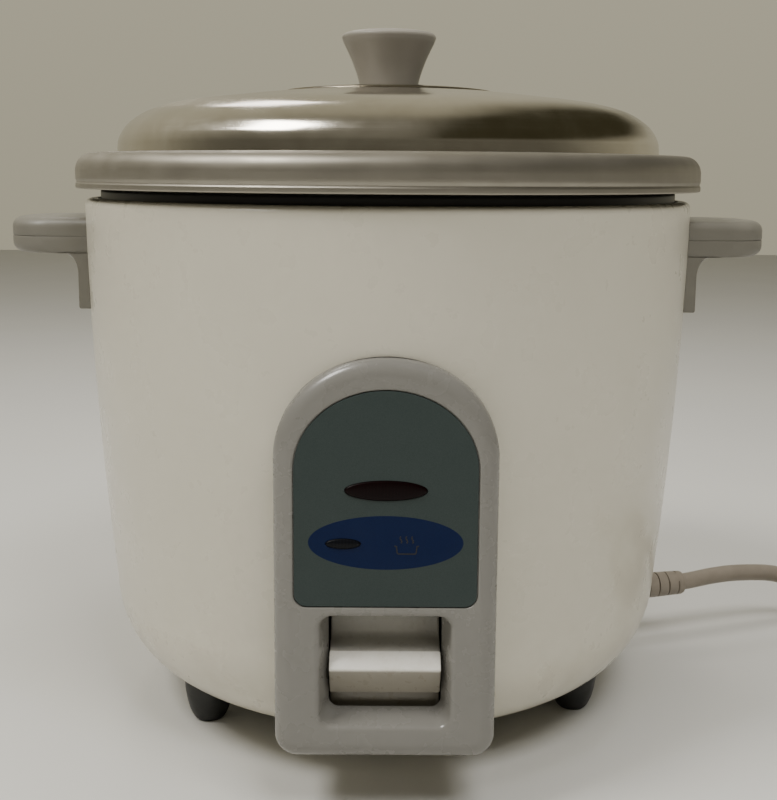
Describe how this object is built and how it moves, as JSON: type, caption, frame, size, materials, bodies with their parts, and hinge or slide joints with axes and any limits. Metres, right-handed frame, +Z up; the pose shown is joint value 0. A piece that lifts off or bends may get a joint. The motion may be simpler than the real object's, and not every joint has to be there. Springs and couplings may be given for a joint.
{
  "type": "rice cooker",
  "caption": "Round electric rice cooker with a lift-off domed lid, a wide-flanged pan, two side handles, a front cook lever and a magnetic thermostat.",
  "frame": {"origin": "on the cooker's vertical axis at the height of the surface that its feet stand on", "axes": "+Z up, -Y out of the front panel, +X to the right when facing the front panel"},
  "size_m": [0.51, 0.2809, 0.305],
  "materials": {
    "body_paint": "warm off-white enamel paint, glossy, with a fine orange-peel texture",
    "liner_steel": "zinc-coated sheet steel",
    "handle_plastic": "moulded warm grey plastic, satin",
    "panel_plastic": "moulded light grey plastic, semi-gloss",
    "label_film": "printed dark grey-green film with a blue patch",
    "warm_lens": "dark red translucent lens",
    "cook_lens": "smoked lens",
    "lever_plastic": "moulded white plastic",
    "pan_aluminium": "satin anodised aluminium",
    "lid_steel": "polished stainless steel, spun",
    "foot_rubber": "black moulded feet",
    "element_steel": "oxidised sheathed element",
    "fastener_steel": "bright steel",
    "brass": "plain and nickel-plated brass",
    "ferrite": "sintered ferrite",
    "ceramic": "glazed steatite",
    "black_plastic": "black moulded plastic",
    "lamp_glass": "neon lamp",
    "cord_pvc": "warm grey PVC",
    "wire_pvc": "heat-resistant sleeved wire"
  },
  "bodies": {
    "body": {"outer_body": "body_paint", "inner_liner": "liner_steel", "base_cover": "liner_steel", "base_screw_1": "fastener_steel", "base_screw_2": "fastener_steel", "base_screw_3": "fastener_steel", "foot_front_left": "foot_rubber", "foot_front_right": "foot_rubber", "foot_rear": "foot_rubber", "foot_screw_front_left": "fastener_steel", "foot_screw_front_right": "fastener_steel", "foot_screw_rear": "fastener_steel", "handle_left": "handle_plastic", "handle_right": "handle_plastic", "handle_screw_left": "fastener_steel", "handle_screw_right": "fastener_steel", "hot_plate": "pan_aluminium", "heating_element": "element_steel", "plate_spacer_1": "ceramic", "plate_spacer_2": "ceramic", "plate_spacer_3": "ceramic", "thermostat_bracket": "liner_steel", "thermostat_body": "brass", "sensor_spring": "fastener_steel", "return_spring": "fastener_steel", "lever_bracket": "liner_steel", "lever_pin": "fastener_steel", "micro_switch": "black_plastic", "panel_housing": "panel_plastic", "label_plate": "label_film", "warm_lens": "warm_lens", "cook_lens": "cook_lens", "lamp_tray": "lever_plastic", "warm_lamp": "lamp_glass", "cook_lamp": "lamp_glass", "terminal_block": "ceramic", "thermal_fuse": "ceramic", "wire_supply": "wire_pvc", "wire_heater": "wire_pvc", "wire_switched": "wire_pvc", "cord_bush": "cord_pvc", "power_cord": "cord_pvc", "cord_coil": "cord_pvc", "cord_tail": "cord_pvc", "coil_tie": "black_plastic", "plug_body": "cord_pvc", "plug_pin_1": "brass", "plug_pin_2": "brass"},
    "pan": {"inner_pan": "pan_aluminium"},
    "lid": {"lid": "lid_steel", "lid_knob": "handle_plastic", "knob_screw": "fastener_steel"},
    "lever": {"switch_lever": "lever_plastic", "link_arm": "liner_steel"},
    "magnet": {"magnet": "ferrite", "magnet_rod": "fastener_steel"},
    "sensor": {"sensor_cap": "pan_aluminium", "sensor_ferrite": "ferrite"},
    "plunger": {"switch_plunger": "lever_plastic"}
  },
  "joints": [
    {"name": "pan_lift", "type": "slide", "parent": "body", "child": "pan", "axis": [0, 0, 1], "range_m": [0, 0.17]},
    {"name": "lid_lift", "type": "slide", "parent": "pan", "child": "lid", "axis": [0, 0, 1], "range_m": [0, 0.1]},
    {"name": "lever_press", "type": "hinge", "parent": "body", "child": "lever", "pos_m": [0, -0.06, 0.04], "axis": [1, 0, 0], "range_deg": [0, 4.5], "stiffness_Nm_per_rad": 0.6, "springref_deg": -11.46},
    {"name": "magnet_slide", "type": "slide", "parent": "body", "child": "magnet", "axis": [0, 0, 1], "range_m": [0, 0.005], "deforming": ["return_spring"]},
    {"name": "sensor_press", "type": "slide", "parent": "body", "child": "sensor", "axis": [0, 0, 1], "range_m": [-0.002, 0], "stiffness_N_per_m": 400, "springref_m": 0.004, "deforming": ["sensor_spring"]},
    {"name": "plunger_slide", "type": "slide", "parent": "body", "child": "plunger", "axis": [0, 0, 1], "range_m": [-0.0016, 0]}
  ],
  "couplings": [
    {"joint": "magnet_slide", "follows": "lever_press", "m_per_rad": 0.0595},
    {"joint": "plunger_slide", "follows": "lever_press", "m_per_rad": -0.0165}
  ]
}
